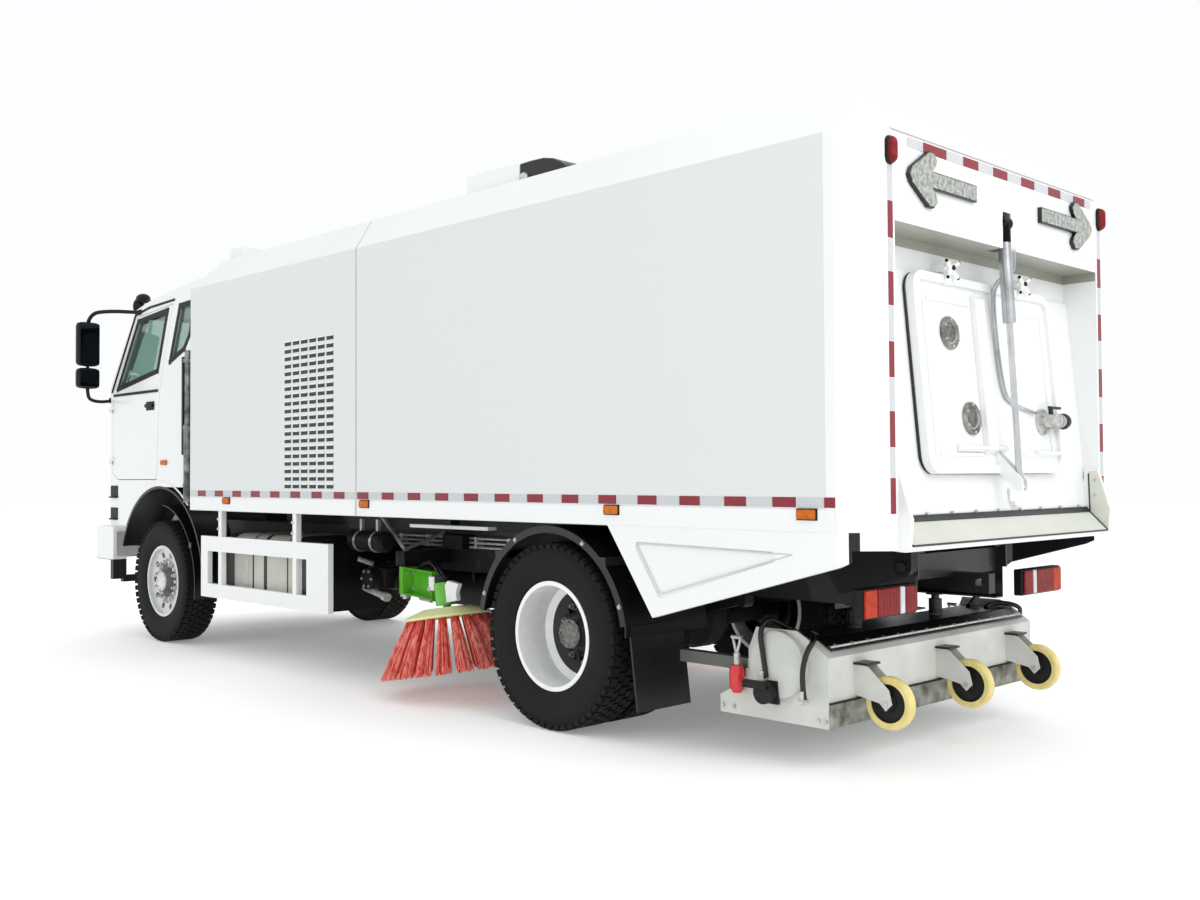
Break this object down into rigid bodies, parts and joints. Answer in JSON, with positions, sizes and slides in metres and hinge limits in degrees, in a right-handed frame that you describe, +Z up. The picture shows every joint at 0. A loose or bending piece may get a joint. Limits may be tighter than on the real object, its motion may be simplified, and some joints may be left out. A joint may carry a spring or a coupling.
{
  "type": "street sweeper truck",
  "caption": "Cab-over sweeping truck with a tipping hopper, swing-out side brooms, a rear pick-up box on casters and a powered tailgate.",
  "frame": {"origin": "on the ground under the middle of the truck's length and width", "axes": "+X forward, +Y to the truck's left, +Z up"},
  "size_m": [8.381, 2.9, 3.1939],
  "materials": {
    "tyre_rubber": "matt moulded rubber",
    "wheel_silver": "silver wheel paint, satin",
    "chassis_black": "black chassis paint, satin",
    "axle_iron": "painted casting",
    "body_white": "white gloss body paint",
    "glass_tint": "light tinted glass",
    "trim_black": "black textured plastic",
    "seat_fabric": "dark grey woven cloth",
    "galvanised": "dull zinc",
    "rod_chrome": "polished chromed rod",
    "cylinder_black": "black enamel",
    "lamp_red": "clear red lens",
    "lamp_amber": "clear amber lens",
    "lamp_clear": "clear ribbed lens",
    "bristle_red": "stiff plastic bristle",
    "arm_green": "bright green gloss paint",
    "caster_cream": "cast urethane tread",
    "box_grey": "light grey satin enamel",
    "tank_grey": "plain aluminium sheet",
    "hood_grey": "light grey satin paint"
  },
  "bodies": {
    "chassis": {"frame_rails": "chassis_black", "front_axle": "axle_iron", "rear_axle": "axle_iron", "leaf_springs": "chassis_black", "power_unit": "axle_iron", "side_tanks": "tank_grey", "front_bumper": "body_white", "headlamps": "lamp_clear", "chassis_lamps": "lamp_red", "machinery_housing": "body_white", "aux_engine": "axle_iron", "side_guards": "body_white", "mudguards": "trim_black", "mud_flaps": "trim_black", "broom_outriggers": "chassis_black", "broom_stays": "galvanised", "intake_stack": "trim_black"},
    "cab": {"cab_shell": "body_white", "cab_glass": "glass_tint", "seats": "seat_fabric", "dashboard": "trim_black", "mirrors": "trim_black"},
    "door_left": {"door_left": "body_white", "door_glass_left": "glass_tint"},
    "door_right": {"door_right": "body_white", "door_glass_right": "glass_tint"},
    "knuckle_left": {"knuckle_left": "axle_iron"},
    "knuckle_right": {"knuckle_right": "axle_iron"},
    "wheel_front_left": {"tyre_front_left": "tyre_rubber", "rim_front_left": "wheel_silver"},
    "wheel_front_right": {"tyre_front_right": "tyre_rubber", "rim_front_right": "wheel_silver"},
    "wheel_rear_left": {"tyre_rear_left": "tyre_rubber", "rim_rear_left": "wheel_silver"},
    "wheel_rear_right": {"tyre_rear_right": "tyre_rubber", "rim_rear_right": "wheel_silver"},
    "hopper": {"hopper_body": "body_white", "hopper_roof": "hood_grey", "hopper_lamps": "lamp_amber", "arrow_boards": "lamp_amber"},
    "tailgate": {"tailgate": "body_white"},
    "gate_cylinder": {"gate_cylinder": "cylinder_black"},
    "gate_rod": {"gate_rod": "rod_chrome"},
    "hoist_barrels": {"hoist_barrels": "cylinder_black"},
    "hoist_rods": {"hoist_rods": "rod_chrome"},
    "broom_arm_left": {"broom_arm_left": "arm_green"},
    "broom_arm_right": {"broom_arm_right": "arm_green"},
    "broom_left": {"broom_left": "bristle_red"},
    "broom_right": {"broom_right": "bristle_red"},
    "pickup_box": {"pickup_box": "box_grey"},
    "caster_left": {"caster_left": "caster_cream"},
    "caster_middle": {"caster_middle": "caster_cream"},
    "caster_right": {"caster_right": "caster_cream"}
  },
  "joints": [
    {"name": "cab_tilt", "type": "hinge", "parent": "chassis", "child": "cab", "pos_m": [3.9875, 0, 0.93], "axis": [0, 1, 0], "range_deg": [0, 45]},
    {"name": "hopper_tip", "type": "hinge", "parent": "chassis", "child": "hopper", "pos_m": [-3.8125, 0, 0.93], "axis": [0, -1, 0], "range_deg": [0, 45]},
    {"name": "tailgate_hinge", "type": "hinge", "parent": "hopper", "child": "tailgate", "pos_m": [-3.9875, 0, 2.362], "axis": [0, 1, 0], "range_deg": [0, 60]},
    {"name": "gate_cylinder_swing", "type": "hinge", "parent": "hopper", "child": "gate_cylinder", "pos_m": [-4.0925, 0, 2.62], "axis": [0, 1, 0], "range_deg": [0, 53]},
    {"name": "gate_rod_slide", "type": "slide", "parent": "gate_cylinder", "child": "gate_rod", "axis": [-0.0538, 0, -0.9986], "range_m": [-0.222, 0]},
    {"name": "hoist_barrel_swing", "type": "hinge", "parent": "chassis", "child": "hoist_barrels", "pos_m": [-1.3125, 0, 0.7], "axis": [0, 1, 0], "range_deg": [0, 19.5]},
    {"name": "hoist_rod_slide", "type": "slide", "parent": "hoist_barrels", "child": "hoist_rods", "axis": [-0.9647, 0, 0.2634], "range_m": [0, 0.76]},
    {"name": "pickup_lift", "type": "slide", "parent": "chassis", "child": "pickup_box", "axis": [0, 0, -1], "range_m": [0, 0.19]},
    {"name": "door_left_hinge", "type": "hinge", "parent": "cab", "child": "door_left", "pos_m": [3.8925, 1.168, 1.5], "axis": [0, 0, -1], "range_deg": [0, 70]},
    {"name": "steer_left", "type": "hinge", "parent": "chassis", "child": "knuckle_left", "pos_m": [2.9375, 0.82, 0.508], "axis": [0, 0, 1], "range_deg": [-35, 35]},
    {"name": "wheel_front_left_spin", "type": "hinge", "parent": "knuckle_left", "child": "wheel_front_left", "pos_m": [2.9375, 1, 0.508], "axis": [0, 1, 0], "continuous": true},
    {"name": "wheel_rear_left_spin", "type": "hinge", "parent": "chassis", "child": "wheel_rear_left", "pos_m": [-2.0625, 1.09, 0.508], "axis": [0, 1, 0], "continuous": true},
    {"name": "broom_arm_left_swing", "type": "hinge", "parent": "chassis", "child": "broom_arm_left", "pos_m": [-0.1125, 0.78, 0.58], "axis": [0, 0, -1], "range_deg": [0, 30]},
    {"name": "broom_left_spin", "type": "hinge", "parent": "broom_arm_left", "child": "broom_left", "pos_m": [-0.8125, 0.95, 0.48], "axis": [0.1702, 0, 0.9854], "continuous": true},
    {"name": "door_right_hinge", "type": "hinge", "parent": "cab", "child": "door_right", "pos_m": [3.8925, -1.168, 1.5], "axis": [0, 0, 1], "range_deg": [0, 70]},
    {"name": "steer_right", "type": "hinge", "parent": "chassis", "child": "knuckle_right", "pos_m": [2.9375, -0.82, 0.508], "axis": [0, 0, 1], "range_deg": [-35, 35]},
    {"name": "wheel_front_right_spin", "type": "hinge", "parent": "knuckle_right", "child": "wheel_front_right", "pos_m": [2.9375, -1, 0.508], "axis": [0, 1, 0], "continuous": true},
    {"name": "wheel_rear_right_spin", "type": "hinge", "parent": "chassis", "child": "wheel_rear_right", "pos_m": [-2.0625, -1.09, 0.508], "axis": [0, 1, 0], "continuous": true},
    {"name": "broom_arm_right_swing", "type": "hinge", "parent": "chassis", "child": "broom_arm_right", "pos_m": [-0.1125, -0.78, 0.58], "axis": [0, 0, 1], "range_deg": [0, 30]},
    {"name": "broom_right_spin", "type": "hinge", "parent": "broom_arm_right", "child": "broom_right", "pos_m": [-0.8125, -0.95, 0.48], "axis": [0.1702, 0, 0.9854], "continuous": true},
    {"name": "caster_left_spin", "type": "hinge", "parent": "pickup_box", "child": "caster_left", "pos_m": [-3.8825, 0.733, 0.32], "axis": [0, 1, 0], "continuous": true},
    {"name": "caster_middle_spin", "type": "hinge", "parent": "pickup_box", "child": "caster_middle", "pos_m": [-3.8825, 0, 0.32], "axis": [0, 1, 0], "continuous": true},
    {"name": "caster_right_spin", "type": "hinge", "parent": "pickup_box", "child": "caster_right", "pos_m": [-3.8825, -0.733, 0.32], "axis": [0, 1, 0], "continuous": true}
  ],
  "couplings": [
    {"joint": "steer_right", "follows": "steer_left", "ratio": 1},
    {"joint": "gate_cylinder_swing", "follows": "tailgate_hinge", "ratio": 0.85965},
    {"joint": "gate_rod_slide", "follows": "tailgate_hinge", "m_per_rad": -0.20732},
    {"joint": "hoist_barrel_swing", "follows": "hopper_tip", "ratio": 0.4128},
    {"joint": "hoist_rod_slide", "follows": "hopper_tip", "m_per_rad": 0.95155}
  ]
}
